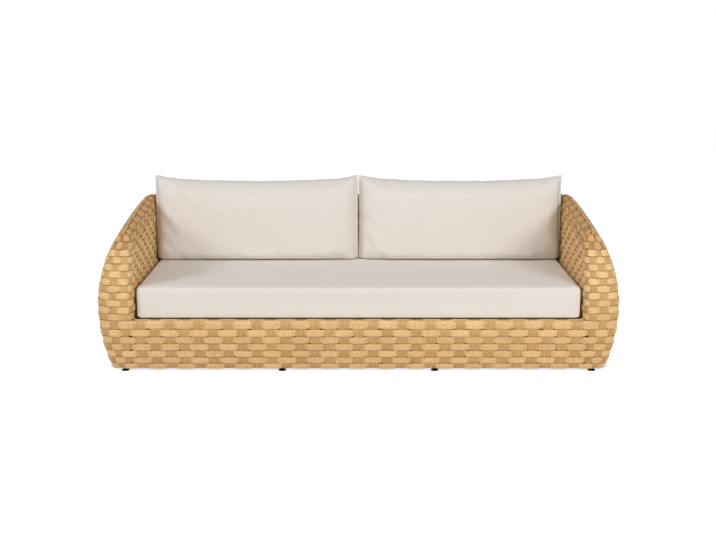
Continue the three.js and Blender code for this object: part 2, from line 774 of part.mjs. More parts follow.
sides.forEach(({ name, sign }, index) => {
  const ribPlaces = [
    ["front", -armRibY],
    ["rear", armRibY],
  ];
  for (const [where, y] of ribPlaces) {
    const profile = ribProfile(topTubeZ(y));
    const points = profile.map(([out, z]) => new THREE.Vector3(sign * (spineX + out), y, z));
    place("arm_rib_" + where + "_" + name, ribSolid(points, armCopes[index]), frameFinish);
  }
  const backRibs = [
    ["inner", innerBackRibX],
    ["outer", outerBackRibX],
  ];
  for (const [where, x] of backRibs) {
    const profile = ribProfile(backTubeZ);
    const points = profile.map(([out, z]) => new THREE.Vector3(sign * x, spineY + out, z));
    place("back_rib_" + where + "_" + name, ribSolid(points, backCope), frameFinish);
  }
});

// An upright member whose ends are level and whose top has moved sideways: a sheared upright.
function shearedUpright(section, from, to) {
  const rise = to[2] - from[2];
  const upright = new THREE.ExtrudeGeometry(section, { depth: rise, bevelEnabled: false, steps: 1 });
  const leanX = (to[0] - from[0]) / rise;
  const leanY = (to[1] - from[1]) / rise;
  const shear = new THREE.Matrix4().makeShear(0, 0, 0, 0, leanX, leanY);
  return upright.applyMatrix4(shear).translate(...from);
}

// Inner posts rise from the seat ring to the top tubes just behind the inner walls.
const armPostX = seatRingX - rodRadius;
const backPostY = seatRailRearY + tubeSize / 2 - rodRadius;
sides.forEach(({ name, sign }, index) => {
  const armPostFoot = [sign * armPostX, 0, railTop + touch];
  const armPost = shearedUpright(rod, armPostFoot, [sign * spineX, 0, topTubeZ(0)]);
  place("arm_post_" + name, geometryOf(solidOf(armPost).subtract(armCopes[index])), frameFinish);
  const backPost = shearedUpright(
    rod,
    [sign * middleFootX, backPostY, railTop + touch],
    [sign * middleFootX, spineY, backTubeZ],
  );
  place("back_post_" + name, geometryOf(solidOf(backPost).subtract(backCope)), frameFinish);
});

// Legs join the base ring to the seat ring, at the front four and at the back two.
function leg(name, x, baseY, seatY, top) {
  const upright = shearedUpright(squareTube, [x, baseY, baseRailTop + touch], [x, seatY, top - touch]);
  place(name, closedGeometry(upright), frameFinish);
}
for (const { name, sign } of sides) {
  const frontTop = apronRailTop - tubeSize;
  leg("front_leg_inner_" + name, sign * middleFootX, -baseRailY, seatRailFrontMidY, frontTop);
  leg("front_leg_outer_" + name, sign * outerLegX, -baseRailY, seatRailFrontMidY, frontTop);
  leg("rear_leg_" + name, sign * middleFootX, baseRailY, seatRailRearY, railTop - tubeSize);
}

// Screw-in feet: a plastic pad with its shoulder, and the steel stud that it turns on.
const latheSides = 12;
const shoulderTop = baseRailBottom - touch;
const padProfile = [
  [0, 0],
  [padRadius - padChamfer, 0],
  [padRadius, padChamfer],
  [padRadius, padThickness - padChamfer],
  [padRadius - padChamfer, padThickness],
  [bossRadius, padThickness],
  [bossRadius, shoulderTop],
  [holeRadius, shoulderTop],
  [holeRadius, studBoreFloor],
  [0, studBoreFloor],
].map(([radius, height]) => new THREE.Vector2(radius, height));
const studProfile = [
  [0, studBoreFloor + touch],
  [studRadius, studBoreFloor + touch],
  [studRadius, baseRailBottom + studReach - runningGap],
  [studRadius - runningGap, baseRailBottom + studReach],
  [0, baseRailBottom + studReach],
].map(([radius, height]) => new THREE.Vector2(radius, height));
function turned(profile, sidesRound, x, y) {
  const geometry = new THREE.LatheGeometry(profile, sidesRound);
  geometry.rotateX(Math.PI / 2);
  geometry.translate(x, y, 0);
  return closedGeometry(geometry);
}
const footNames = ["outer_left", "inner_left", "inner_right", "outer_right"];
const footRows = [
  ["front", frontFeet],
  ["rear", rearFeet],
];
for (const [row, places] of footRows) {
  places.forEach(([x, y], i) => {
    place("foot_pad_" + row + "_" + footNames[i], turned(padProfile, latheSides, x, y), padFinish);
    place("foot_stud_" + row + "_" + footNames[i], turned(studProfile, holeSides, x, y), steelFinish);
  });
}

// Grid lines along one side of a cushion: close together in the rounded edges.
function cushionLine(half, edge, coreSteps) {
  const core = half - edge;
  const inside = steps(coreSteps + 1).map((i) => THREE.MathUtils.lerp(-core, core, i / coreSteps));
  return [-half, -half + edge / 3, ...inside, half - edge / 3, half];
}

// A box whose grid lines are given along each axis, before its faces are shaped.
function griddedBox(lines) {
  const counts = lines.map((line) => line.length - 1);
  const box = new THREE.BoxGeometry(...counts, ...counts);
  const position = box.getAttribute("position");
  for (const i of steps(position.count)) {
    const cell = (axis) => Math.round(position.getComponent(i, axis) + counts[axis] / 2);
    position.setXYZ(i, ...lines.map((line, axis) => line[cell(axis)]));
  }
  return box;
}

// Moves every vertex of a geometry by a rule.
function reshape(geometry, rule) {
  const position = geometry.getAttribute("position");
  for (const i of steps(position.count)) {
    const point = new THREE.Vector3().fromBufferAttribute(position, i);
    position.setXYZ(i, ...rule(point));
  }
  return geometry;
}

// The seat cushion: round edges, sides drawn in between the corners, and a crowned top that is
// level where the back cushions stand on it.
const seatHalf = new THREE.Vector3(seatSideX - seatSideGap, seatDepth / 2, seatThickness / 2);
const seatRear = seatRearY - seatSideGap;
const seatMidY = seatRear - seatDepth / 2;
const seatBottom = deckTop + touch;
const seatTop = seatBottom + seatThickness;
const seatMidZ = (seatBottom + seatTop) / 2;
const standLine = seatRear - backCushionThickness; // the crown ends in front of the back cushions
const seatWidthSteps = 14;
const seatDepthSteps = 7;
const seatHeightSteps = 2;
function seatRule(point) {
  const core = seatHalf.clone().subScalar(seatEdge);
  const held = point.clone().clamp(core.clone().negate(), core);
  const away = point.clone().sub(held);
  if (away.lengthSq() > 0) away.setLength(seatEdge);
  const across = held.x / core.x;
  const along = held.y / core.y;
  const up = held.z / core.z;
  const ahead = standLine - seatMidY;
  const frontShare = THREE.MathUtils.clamp((ahead - held.y) / (ahead + core.y), 0, 1);
  const crown = up > 0 ? seatCrown * (1 - across ** 4) * Math.sin(Math.PI * frontShare) : 0;
  const pull = seatDrawIn * (1 - up ** 2);
  const shaped = held.add(away);
  shaped.x -= Math.sign(across) * pull * Math.abs(across) ** 8 * (1 - along ** 2);
  shaped.y -= Math.sign(along) * pull * Math.abs(along) ** 8 * (1 - across ** 2);
  return [shaped.x, seatMidY + shaped.y, seatMidZ + shaped.z + crown];
}
const seatGrid = griddedBox([
  cushionLine(seatHalf.x, seatEdge, seatWidthSteps),
  cushionLine(seatHalf.y, seatEdge, seatDepthSteps),
  cushionLine(seatHalf.z, seatEdge, seatHeightSteps),
]);
place("seat_cushion", closedGeometry(reshape(seatGrid, seatRule)), clothFinish);

// The back cushions: two cloth panels sewn at a seam, full in the middle, with pointed upper
// corners. They stand on the seat cushion and lie against the back.
const backHalfWidth = (seatSideX - seatSideGap - backCushionGap / 2) / 2;
const backCentreX = backCushionGap / 2 + backHalfWidth;
const backBottom = seatTop + touch;
const backFlatY = seatRearY - touch;
const backMidY = backFlatY - backCushionThickness / 2;
const fullnessPower = 5; // how late the upper and side edges thin out towards the seam
const footPower = 14; // the lower edge is pressed square against the seat
const fullnessRoot = 0.4;
const earPower = 6;
function fullness(share, power) {
  return (1 - Math.abs(share) ** power) ** fullnessRoot;
}
function backCushionRule(sign) {
  return ({ x, y, z }) => {
    const up = (z + 1) / 2;
    const full = fullness(x, fullnessPower) * fullness(z, z < 0 ? footPower : fullnessPower);
    const topLine = backCushionHeight + earHeight * Math.abs(x) ** earPower;
    const rise = Math.max(0, up * (topLine + backCushionPress) - backCushionPress);
    const waist = backCushionDrawIn * (1 - z ** 2) * Math.abs(x) ** earPower;
    const flare = earFlare * Math.max(0, x * sign) ** earPower * up ** earPower;
    const middle = backMidY + backCushionLean * up ** 2;
    const thick = (backCushionThickness / 2) * full;
    const depth = Math.min(middle + y * thick, backFlatY);
    const wide = backHalfWidth - waist + flare;
    return [sign * backCentreX + x * wide, depth, backBottom + rise];
  };
}
const backWidthSteps = 16;
const backHeightSteps = 12;
function easedLine(count) {
  return steps(count + 1).map((i) => Math.sin((i / count - 1 / 2) * Math.PI));
}
for (const { name, sign } of sides) {
  const grid = griddedBox([easedLine(backWidthSteps), [-1, 1], easedLine(backHeightSteps)]);
  place("back_cushion_" + name, closedGeometry(reshape(grid, backCushionRule(sign))), clothFinish);
}

export default sofa;
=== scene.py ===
"""Looks of a rattan garden sofa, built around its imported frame. Metres, +Z up, front at -Y."""

import bpy
import numpy as np
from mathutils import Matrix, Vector


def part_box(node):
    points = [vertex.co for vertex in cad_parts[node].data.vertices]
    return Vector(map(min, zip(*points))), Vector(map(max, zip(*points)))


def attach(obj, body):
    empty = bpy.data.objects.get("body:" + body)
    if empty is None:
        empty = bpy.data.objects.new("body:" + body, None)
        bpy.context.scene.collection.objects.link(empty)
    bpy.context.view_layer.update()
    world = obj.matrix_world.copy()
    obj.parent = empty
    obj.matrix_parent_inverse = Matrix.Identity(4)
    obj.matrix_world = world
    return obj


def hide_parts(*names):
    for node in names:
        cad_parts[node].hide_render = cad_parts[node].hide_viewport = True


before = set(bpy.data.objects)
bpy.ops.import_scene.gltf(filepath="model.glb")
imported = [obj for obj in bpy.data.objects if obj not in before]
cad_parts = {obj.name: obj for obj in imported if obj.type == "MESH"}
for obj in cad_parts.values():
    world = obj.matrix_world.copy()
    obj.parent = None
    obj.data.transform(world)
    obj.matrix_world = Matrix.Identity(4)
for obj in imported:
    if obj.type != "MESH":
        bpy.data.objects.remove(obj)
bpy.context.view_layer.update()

# Camera: the photograph's own viewpoint, in front of the seat cushion's face at eye height.
# Focal length and place come from the seat's parallel edges and the row of feet.
image_width_px, focal_px, centre_x_px = 716, 1128, 358.5
camera_distance, camera_height, camera_tilt = 4.95, 1.572, np.radians(12.4)
camera_data = bpy.data.cameras.new("viewpoint")
camera_data.sensor_width = 36.0
camera_data.lens = camera_data.sensor_width * focal_px / image_width_px
camera_data.shift_x = (image_width_px / 2 - centre_x_px) / image_width_px
camera = bpy.data.objects.new("viewpoint", camera_data)
camera.location = (0.0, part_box("seat_cushion")[0].y - camera_distance, camera_height)
camera.rotation_euler = (np.pi / 2 - camera_tilt, 0.0, 0.0)
bpy.context.scene.collection.objects.link(camera)
bpy.context.scene.camera = camera
bpy.context.scene.view_settings.view_transform = "Standard"


# Studio: a pale floor that shows white to the camera and keeps a faint shadow under the sofa,
# soft lamps at the left and the front right, two weak ones ahead and a pale surrounding.
def put_mesh(name, points, faces, smooth=True):
    """A mesh object from an array of points and an array of four-cornered faces."""
    mesh = bpy.data.meshes.new(name)
    mesh.vertices.add(len(points))
    mesh.vertices.foreach_set("co", np.asarray(points, np.float32).ravel())
    mesh.loops.add(faces.size)
    mesh.loops.foreach_set("vertex_index", faces.astype(np.int32).ravel())
    mesh.polygons.add(len(faces))
    mesh.polygons.foreach_set("loop_start", np.arange(0, faces.size, 4, dtype=np.int32))
    mesh.polygons.foreach_set("use_smooth", np.full(len(faces), smooth))
    mesh.update(calc_edges=True)
    made = bpy.data.objects.new(name, mesh)
    bpy.context.scene.collection.objects.link(made)
    return made


def new_finish(name, colour, roughness, metallic=0.0):
    """A material whose shader has these constants, with the material's tree and the shader."""
    material = bpy.data.materials.new(name)
    material.use_nodes = True
    tree = material.node_tree
    shader = tree.nodes["Principled BSDF"]
    shader.inputs["Base Color"].default_value = (*colour, 1)
    shader.inputs["Roughness"].default_value = roughness
    shader.inputs["Metallic"].default_value = metallic
    return material, tree, shader


def add_node(tree, kind, inputs=None, **settings):
    """A node with its settings, and with its inputs linked to sockets or set to values."""
    made = tree.nodes.new("ShaderNode" + kind)
    for key, value in settings.items():
        setattr(made, key, value)
    for key, value in (inputs or {}).items():
        if isinstance(value, bpy.types.NodeSocket):
            tree.links.new(value, made.inputs[key])
        else:
            made.inputs[key].default_value = value
    return made


# The floor glows to the camera alone, and not where the sofa covers it, because white would
# show there through the gaps of the weave.
floor_half, floor_colour, floor_glow = 9.0, (0.80, 0.80, 0.79), 0.72
covered_half, covered_middle_y, covered_fade = (1.12, 0.39), 0.09, 0.06
floor_corners = np.array([[-1, -1, 0], [1, -1, 0], [1, 1, 0], [-1, 1, 0]]) * floor_half
floor = put_mesh("floor", floor_corners, np.array([[0, 1, 2, 3]]), smooth=False)
floor_finish, tree, shader = new_finish("pale_floor", floor_colour, 0.9)
shader.inputs["Emission Color"].default_value = (1, 1, 1, 1)
to_camera = add_node(tree, "LightPath").outputs["Is Camera Ray"]
place = add_node(tree, "SeparateXYZ", {0: add_node(tree, "TexCoord").outputs["Object"]}).outputs
behind = add_node(tree, "Math", {0: place["Y"], 1: covered_middle_y}, operation="SUBTRACT")
open_sides = []
for off, half in zip((place["X"], behind.outputs[0]), covered_half):
    away = add_node(tree, "Math", {0: off}, operation="ABSOLUTE").outputs[0]
    fade = add_node(tree, "MapRange", {"Value": away, "From Min": half, "From Max": half + covered_fade})
    open_sides.append(fade.outputs["Result"])
open_floor = add_node(tree, "Math", dict(enumerate(open_sides)), operation="MAXIMUM").outputs[0]
seen = add_node(tree, "Math", {0: to_camera, 1: open_floor}, operation="MULTIPLY").outputs[0]
glow = add_node(tree, "Math", {0: seen, 1: floor_glow}, operation="MULTIPLY").outputs[0]
tree.links.new(glow, shader.inputs["Emission Strength"])
floor.data.materials.append(floor_finish)

surrounding_strength = 0.31
world = bpy.data.worlds.new("surrounding")
bpy.context.scene.world = world
world.use_nodes = True
tree = world.node_tree
rays = add_node(tree, "LightPath").outputs
shown = add_node(tree, "Math", {0: rays["Is Camera Ray"], 1: rays["Is Glossy Ray"]}, operation="MAXIMUM")
brightness = add_node(tree, "Mix", {"A": surrounding_strength, "B": 1.0, "Factor": shown.outputs[0]})
tree.links.new(brightness.outputs["Result"], tree.nodes["Background"].inputs["Strength"])
tree.nodes["Background"].inputs["Color"].default_value = (1, 1, 1, 1)

# Each lamp has a name, a place, the width of its square and its watts. All are turned towards
# the middle of the sofa.
lamp_colour, lamp_aim = (1, 0.99, 0.975), Vector((0, -0.1, 0.45))
lamps = (
    ("left_softbox", (-5.46, -3.00, 3.74), 1.6, 135),
    ("right_softbox", (4.05, -5.28, 2.84), 2.0, 172),
    ("front_softbox", (-0.89, -6.43, 3.30), 2.0, 44),
    ("high_softbox", (0, -3.6, 6.51), 3.0, 46),
)
for name, lamp_place, lamp_width, watts in lamps:
    lamp_data = bpy.data.lights.new(name, "AREA")
    lamp_data.size, lamp_data.energy, lamp_data.color = lamp_width, watts, lamp_colour
    lamp = bpy.data.objects.new(name, lamp_data)
    lamp.location = lamp_place
    lamp.rotation_euler = (lamp_aim - Vector(lamp_place)).to_track_quat("-Z", "Y").to_euler()
    bpy.context.scene.collection.objects.link(lamp)

# Woven shell: flat rattan bands woven over and under upright staves, on a barrel shape that
# stands out furthest at its bulge, leans in to a shoulder and rolls over a crest line. These
# lengths are those of the frame's solids, which the weave covers and stands for.
bulge_height, barrel_radius, shoulder_inset = 0.294, 0.795, 0.064
roll_outer, roll_inner, roll_height = 0.135, 0.036, 0.078
nose_reach, nose_squareness = 0.110, 3.2
crest_front, crest_rise = 0.647, 1.4
apron_roll, half_depth = 0.014, 0.460
shell_low, shell_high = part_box("woven_back")
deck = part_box("woven_front_apron")[1].z
shell_nodes = ("woven_arm_left", "woven_arm_right", "woven_back", "woven_front_apron")
spine_x, spine_y = shell_high.x - roll_outer, half_depth - roll_outer
seat_side, seat_rear = spine_x - roll_inner, spine_y - roll_inner
crest_rear, skin_bottom = shell_high.z, shell_low.z
nose_y = nose_reach - half_depth
apron_columns, nose_columns, inner_nose_columns = 16, 4, 3
side_columns, corner_columns, back_columns = 13, 5, 16


def crest_height(y):
    """Height of the crest line: a parabola from the nose to the back, steeper at the nose."""
    share = np.clip((y - nose_y) / (seat_rear - nose_y), 0, 1)
    return crest_front + (crest_rear - crest_front) * share * (crest_rise + (1 - crest_rise) * share)


def upper_radius(crest):
    """Radius of the circle above the bulge, whose sagitta at the shoulder is the inset there."""
    rise = crest - roll_height - bulge_height
    return (rise**2 + shoulder_inset**2) / (2 * shoulder_inset)


def barrel_inset(height, crest):
    """How far the face stands in from the bulge: the sagitta of a circle, which is a smaller
    one above the bulge."""
    radius = np.where(height < bulge_height, barrel_radius, upper_radius(crest))
    return radius - np.sqrt(radius**2 - (height - bulge_height) ** 2)


def lean_at(crest):
    """How far the shoulder's slope would carry the face in over the height of the roll."""
    rise = crest - roll_height - bulge_height
    return roll_height * rise / np.sqrt(upper_radius(crest) ** 2 - rise**2)


def drawn(start, towards, end, share):
    """A quadratic curve from start to end, drawn towards a third value."""
    return start * (1 - share) ** 2 + 2 * towards * share * (1 - share) + end * share**2


def arc_lengths(*axes):
    """Lengths of arc up to each point of a line, given as one array for each of two axes."""
    return np.cumsum(np.hypot(*(np.diff(axis, prepend=axis[0]) for axis in axes)))


# Rows of the weave from the lower edge up: seven to the apron's top, of which the last is the
# tallest, ten up to the shoulder at equal lengths of arc, and three over the roll.
apron_rows, barrel_rows, roll_rows, row_pitch = 7, 10, 3, 0.033
shoulder_row = apron_rows + barrel_rows
crest_row = shoulder_row + roll_rows
apron_shares = np.array([0, 0.118, 0.253, 0.394, 0.538, 0.679, 0.828, 1])
apron_heights = [*(skin_bottom + (deck - skin_bottom) * apron_shares)]
climb_steps, over_steps, roll_steps, turn_steps = 400, 200, 24, 500
climb = np.linspace(apron_heights[-1], crest_front - roll_height, climb_steps)
climbed = np.cumsum(np.hypot(np.gradient(climb), np.gradient(barrel_inset(climb, crest_front))))
barrel_heights = np.interp(np.linspace(climbed[0], climbed[-1], barrel_rows + 1), climbed, climb)
row_heights = np.array([*apron_heights[:-1], *barrel_heights])
row_numbers = np.arange(shoulder_row + 1)
over_share = np.linspace(0, 1, over_steps)
over_width = roll_outer - shoulder_inset
over_in = drawn(over_width, over_width - lean_at(crest_front), 0, over_share)
over_up = drawn(0, roll_height, roll_height, over_share)
over_length = arc_lengths(over_in, over_up)


def shell_profile(row, crest):
    """Height and the outer, nose and inner widths from the crest line, at a row of the weave:
    the barrel's height and inset up to the shoulder, then curves drawn over to the crest."""
    low = np.interp(row, row_numbers, row_heights)
    low = low + (crest - crest_front) * np.clip((row - apron_rows) / barrel_rows, 0, 1)
    over = np.interp((row - shoulder_row) / roll_rows * over_length[-1], over_length, over_share)
    inset = barrel_inset(low, crest)
    outer, nose = roll_outer - inset, nose_reach - inset
    return (
        drawn(low, crest, crest, over),
        drawn(outer, outer - lean_at(crest), 0, over),
        drawn(nose, nose - lean_at(crest), 0, over),
        drawn(roll_inner, roll_inner, 0, over),
    )


# The apron's top row goes up to the roll, round it and back over the front seat rail.
roll_base, apron_flat = deck - apron_roll, 0.040
roll_turn = np.linspace(0, np.pi / 2, roll_steps)
roll_in = barrel_inset(roll_base, crest_front)
apron_height = np.array([apron_heights[-2], *(roll_base + apron_roll * np.sin(roll_turn)), deck])
apron_inset = np.array([0, *(roll_in + apron_roll * (1 - np.cos(roll_turn))), 0])
apron_inset[0] = barrel_inset(apron_heights[-2], crest_front)
apron_inset[-1] = apron_inset[-2] + apron_flat
apron_arc = arc_lengths(apron_height, apron_inset)
apron_row = apron_rows - 1 + apron_arc / apron_arc[-2]


def apron_profile(row):
    """Height and nose width of the front apron at a row: the barrel's, then a quarter circle
    over the front seat rail, then flat."""
    low = np.interp(row, row_numbers, row_heights)
    above = row > apron_rows - 1
    height = np.where(above, np.interp(row, apron_row, apron_height), low)
    inset = np.where(above, np.interp(row, apron_row, apron_inset), barrel_inset(low, crest_front))
    return height, nose_reach - inset


def stations(zones):
    """Stations along a path in plan, one zone after another. Each holds a length of arc, a
    column number, a point of the crest line, and how much of the outer, inner and nose widths
    carry that point out to the face."""
    table, length, column = [], 0.0, 0.0
    for arc, columns, *shares in zones:
        values = [np.ones_like(arc) * share for share in shares]
        table.append(np.stack([length + arc, column + columns * arc / arc[-1], *values]))
        length, column = length + arc[-1], column + columns
    return np.concatenate(table, 1)


turn = np.linspace(0, np.pi / 2, turn_steps)
round_x, round_y = np.sin(turn) ** (2 / nose_squareness), np.cos(turn) ** (2 / nose_squareness)


def nose_arc(width):
    """Lengths of arc round a quarter of the nose's superellipse."""
    return arc_lengths(round_x * width, round_y * nose_reach)


line = np.array([0.0, 1.0])
spare = (back_columns + 1) / back_columns
side_line, back_line = nose_y + line * (seat_rear - nose_y), seat_side * (1 - spare * line)
corner_x, corner_y = seat_side + roll_inner * np.cos(turn), seat_rear + roll_inner * np.sin(turn)
side_arc, back_arc = line * (seat_rear - nose_y), line * seat_side * spare
outer_corner_arc, inner_corner_arc = turn * (roll_outer + roll_inner), turn * roll_inner
outer_zones = [
    (nose_arc(roll_outer), nose_columns, spine_x, nose_y, round_x, 0, 0, 0, round_y),
    (side_arc, side_columns, spine_x, side_line, 1, 0, 0, 0, 0),
    (outer_corner_arc, corner_columns, corner_x, corner_y, np.cos(turn), np.sin(turn), 0, 0, 0),
    (back_arc, back_columns + 1, back_line, spine_y, 0, 1, 0, 0, 0),
]
inner_zones = [
    (nose_arc(roll_inner), inner_nose_columns, spine_x, nose_y, 0, 0, -round_x, 0, round_y),
    (side_arc, side_columns, spine_x, side_line, 0, 0, -1, 0, 0),
    (inner_corner_arc, corner_columns, corner_x, corner_y, 0, 0, -np.cos(turn), -np.sin(turn), 0),
    (back_arc, back_columns + 1, back_line, spine_y, 0, 0, 0, -1, 0),
]
apron_zone = (line * spine_x, apron_columns, line * spine_x, nose_y, 0, 0, 0, 0, 1)
ring_path, outside, inside = (stations(z) for z in ([apron_zone, *outer_zones], outer_zones, inner_zones))
spare_arc = seat_side * (spare - 1)
inside[:2] *= -1
arm_path = np.concatenate([inside[:, ::-1], outside[:, 1:]], 1)
arm_path[0] -= inside[0, -1] + spare_arc
half_ring, half_loop = (path[0, -1] - spare_arc for path in (ring_path, arm_path))


def shell_point(path, place, row, side=1, by_column=False, on_apron=False):
    """Points of the shell's face at a length of arc or a column number of a path, and a row:
    a point of the crest line, carried out by the widths that hold there."""
    key = path[1] if by_column else path[0]
    base_x, base_y, out_x, out_y, in_x, in_y, ahead = (np.interp(place, key, v) for v in path[2:])
    height, outer, nose, inner = shell_profile(row, crest_height(base_y))
    if on_apron:
        rolled = np.clip((spine_x - base_x) / (spine_x - seat_side), 0, 1) * (ahead > 0)
        rolled_height, rolled_nose = apron_profile(row)
        height = height + (rolled_height - height) * rolled
        nose = nose + (rolled_nose - nose) * rolled
    x = base_x + out_x * outer + in_x * inner
    y = base_y + out_y * outer + in_y * inner - ahead * nose
    return np.stack(np.broadcast_arrays(x * side, y, height), -1)


along_step, row_step, column_step, least_length = 0.0005, 0.02, 0.02, 1e-9


def lifted(surface, along, row, lift, step):
    """Points lifted off a surface along its normal, the cross product of its two slopes. In the
    sharp inner corners a point may have none and takes the sum of its ring's, and a ring that
    has none is turned evenly between the rings before and after it."""
    slope = surface(along + step, row) - surface(along - step, row)
    rise = surface(along, row + row_step) - surface(along, row - row_step)
    normal = np.cross(slope, rise)
    length = np.linalg.norm(normal, axis=-1, keepdims=True)
    known = length > least_length
    normal = np.where(known, normal / np.maximum(length, least_length), 0)
    usual, some, ring = normal.sum(1), known.any((1, 2)), np.arange(len(normal))
    usual = np.stack([np.interp(ring, ring[some], usual[some, axis]) for axis in range(3)], -1)
    normal = np.where(known, normal, usual[:, None])
    normal /= np.linalg.norm(normal, axis=-1, keepdims=True)
    return surface(along, row) + normal * lift[..., None]


def new_group(name, inputs, outputs):
    """A node group with its sockets, its tree, and what comes in and goes out."""
    group = bpy.data.node_groups.new(name, "ShaderNodeTree")
    for direction, sockets in (("INPUT", inputs), ("OUTPUT", outputs)):
        for socket, kind in sockets.items():
            group.interface.new_socket(socket, in_out=direction, socket_type="NodeSocket" + kind)
    return group, group.nodes.new("NodeGroupInput").outputs, group.nodes.new("NodeGroupOutput").inputs


# Rattan's look: fine fibres along each strand, blotches, a tone of its own for each stretch of
# a strand, and painted shade: a darker, browner colour low in the weave and at a strand's edges,
# standing in for the shadow there.
rattan_pale, rattan_dark, rattan_painted_shade = (0.94, 0.66, 0.325), (0.62, 0.38, 0.15), (0.60, 0.45, 0.29)
fibre_length, fibre_width, fibre_share = 0.070, 0.0008, 0.7
blotch_length, blotch_width, tone_share, painted_shade_share = 1 / 75, 1 / 240, 0.045, 0.62
dark_at, pale_at, edge_shade_from, edge_shade_to, edge_shade_share = 0.66, 1.04, 0.80, 1.02, 0.70
fibre_strength, fibre_depth, rattan_roughness = 0.35, 0.0006, 0.62
sockets_in = {"Strand": "Vector", "Painted Shade": "Float", "Tone": "Float", "Half Width": "Float"}
rattan, given, result = new_group("rattan_fibres", sockets_in, {"Color": "Color", "Height": "Float"})
fine_scale, broad_scale = (1 / fibre_length, 1 / fibre_width, 0), (1 / blotch_length, 1 / blotch_width, 0)
fine = add_node(rattan, "VectorMath", {0: given["Strand"], 1: fine_scale}, operation="MULTIPLY").outputs[0]
fibres = add_node(rattan, "TexNoise", {"Vector": fine, "Scale": 1.0, "Detail": 3.0}).outputs["Fac"]
broad = add_node(rattan, "VectorMath", {0: given["Strand"], 1: broad_scale}, operation="MULTIPLY").outputs[0]
blotches = add_node(rattan, "TexNoise", {"Vector": broad, "Scale": 1.0, "Detail": 4.0, "Roughness": 0.6})
both = {0: fibres, 1: fibre_share, 2: blotches.outputs["Fac"]}
both = add_node(rattan, "Math", both, operation="MULTIPLY_ADD").outputs[0]
toned = {0: given["Tone"], 1: tone_share, 2: both}
toned = add_node(rattan, "Math", toned, operation="MULTIPLY_ADD").outputs[0]
paleness = add_node(rattan, "MapRange", {"Value": toned, "From Min": dark_at, "From Max": pale_at})
body = {"Factor": paleness.outputs["Result"], "A": (*rattan_dark, 1), "B": (*rattan_pale, 1)}
body = add_node(rattan, "Mix", body, data_type="RGBA").outputs["Result"]
# A strand's edges are darkened as painted shade, for the shadow between neighbouring strands.
off_middle = add_node(rattan, "SeparateXYZ", {0: given["Strand"]}).outputs["Y"]
off_middle = add_node(rattan, "Math", {0: off_middle}, operation="ABSOLUTE").outputs[0]
edge = add_node(rattan, "Math", {0: off_middle, 1: given["Half Width"]}, operation="DIVIDE").outputs[0]
edge = {"Value": edge, "From Min": edge_shade_from, "From Max": edge_shade_to, "To Max": edge_shade_share}
edge = add_node(rattan, "MapRange", edge).outputs["Result"]
# Painted shade: the shade value given for each point and the edge darkening mix in the darker, browner
# colour.
shade = add_node(rattan, "Math", {0: given["Painted Shade"], 1: painted_shade_share}, operation="MULTIPLY").outputs[0]
shade = add_node(rattan, "Math", {0: shade, 1: edge}, operation="MAXIMUM").outputs[0]
shaded = {"Factor": shade, "A": body, "B": (*rattan_painted_shade, 1)}
shaded = add_node(rattan, "Mix", shaded, data_type="RGBA", blend_type="MULTIPLY").outputs["Result"]
rattan.links.new(shaded, result["Color"])
rattan.links.new(fibres, result["Height"])


def rattan_finish(name, half_width):
    """Rattan for strands of one half width. Bump raises the fibres."""
    material, tree, shader = new_finish(name, rattan_pale, rattan_roughness)
    strand = add_node(tree, "UVMap", uv_map="strand").outputs["UV"]
    # The attribute read here holds how much painted shade darkens each point of the weave.
    low, tone = (add_node(tree, "Attribute", attribute_name=n).outputs["Fac"] for n in ("painted_shade", "tone"))
    looks = add_node(tree, "Group", node_tree=rattan)
    for socket, value in (("Strand", strand), ("Painted Shade", low), ("Tone", tone)):
        tree.links.new(value, looks.inputs[socket])
    looks.inputs["Half Width"].default_value = half_width
    raised = {"Height": looks.outputs["Height"], "Strength": fibre_strength, "Distance": fibre_depth}
    bump = add_node(tree, "Bump", raised)
    tree.links.new(looks.outputs["Color"], shader.inputs["Base Color"])
    tree.links.new(bump.outputs["Normal"], shader.inputs["Normal"])
    return material


def put_strips(name, strips, finish):
    """One mesh of closed strips. Each strip is an array of rings by points by seven values: the
    place, the lengths along and across it, how much painted shade darkens it and its tone. A strip
    whose volume comes out below zero has its faces turned round."""
    points, faces, flat, first = [], [], [], 0
    for strip in strips:
        rings, around = strip.shape[:2]
        index = first + np.arange(rings * around).reshape(rings, around)
        beside = np.roll(index, -1, 1)
        skin = np.stack([index[:-1], index[1:], beside[1:], beside[:-1]], -1).reshape(-1, 4)
        pair = np.arange(around // 2 - 1)
        cap = np.stack([pair, pair + 1, around - 2 - pair, around - 1 - pair], -1)
        ends = np.concatenate([index[0][cap], index[-1][cap][:, ::-1]])
        corner = strip[..., :3].reshape(-1, 3)[skin - first]
        volume = np.einsum("ij,ij->", corner[:, 0], np.cross(corner[:, 1], corner[:, 2]))
        volume += np.einsum("ij,ij->", corner[:, 0], np.cross(corner[:, 2], corner[:, 3]))
        made = np.concatenate([skin, ends])
        faces.append(made if volume > 0 else made[:, ::-1])
        flat.append(np.repeat([True, False], [len(skin), len(ends)]))
        points.append(strip.reshape(-1, strip.shape[-1]))
        first += rings * around
    points, faces = np.concatenate(points), np.concatenate(faces)
    made = put_mesh(name, points[:, :3], faces, np.concatenate(flat))
    strand = points[faces.ravel(), 3:5].astype(np.float32)
    made.data.uv_layers.new(name="strand").uv.foreach_set("vector", strand.ravel())
    # Column five is painted shade, column six the tone.
    for column, attribute in ((5, "painted_shade"), (6, "tone")):
        values = made.data.attributes.new(attribute, "FLOAT", "POINT").data
        values.foreach_set("value", points[:, column].astype(np.float32))
    made.data.materials.append(finish)
    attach(made, "root")
    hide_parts(*shell_nodes)


chance = np.random.default_rng(20)


def wander(along, longest=0.9):
    """Slow wandering between about -1 and 1: three sines whose phases are drawn at random."""
    waves = longest / np.array([1.0, 2.7, 6.1])
    phases = chance.uniform(0, 2 * np.pi, 3)
    return sum(np.sin(2 * np.pi * along / wave + phase) for wave, phase in zip(waves, phases)) / 2
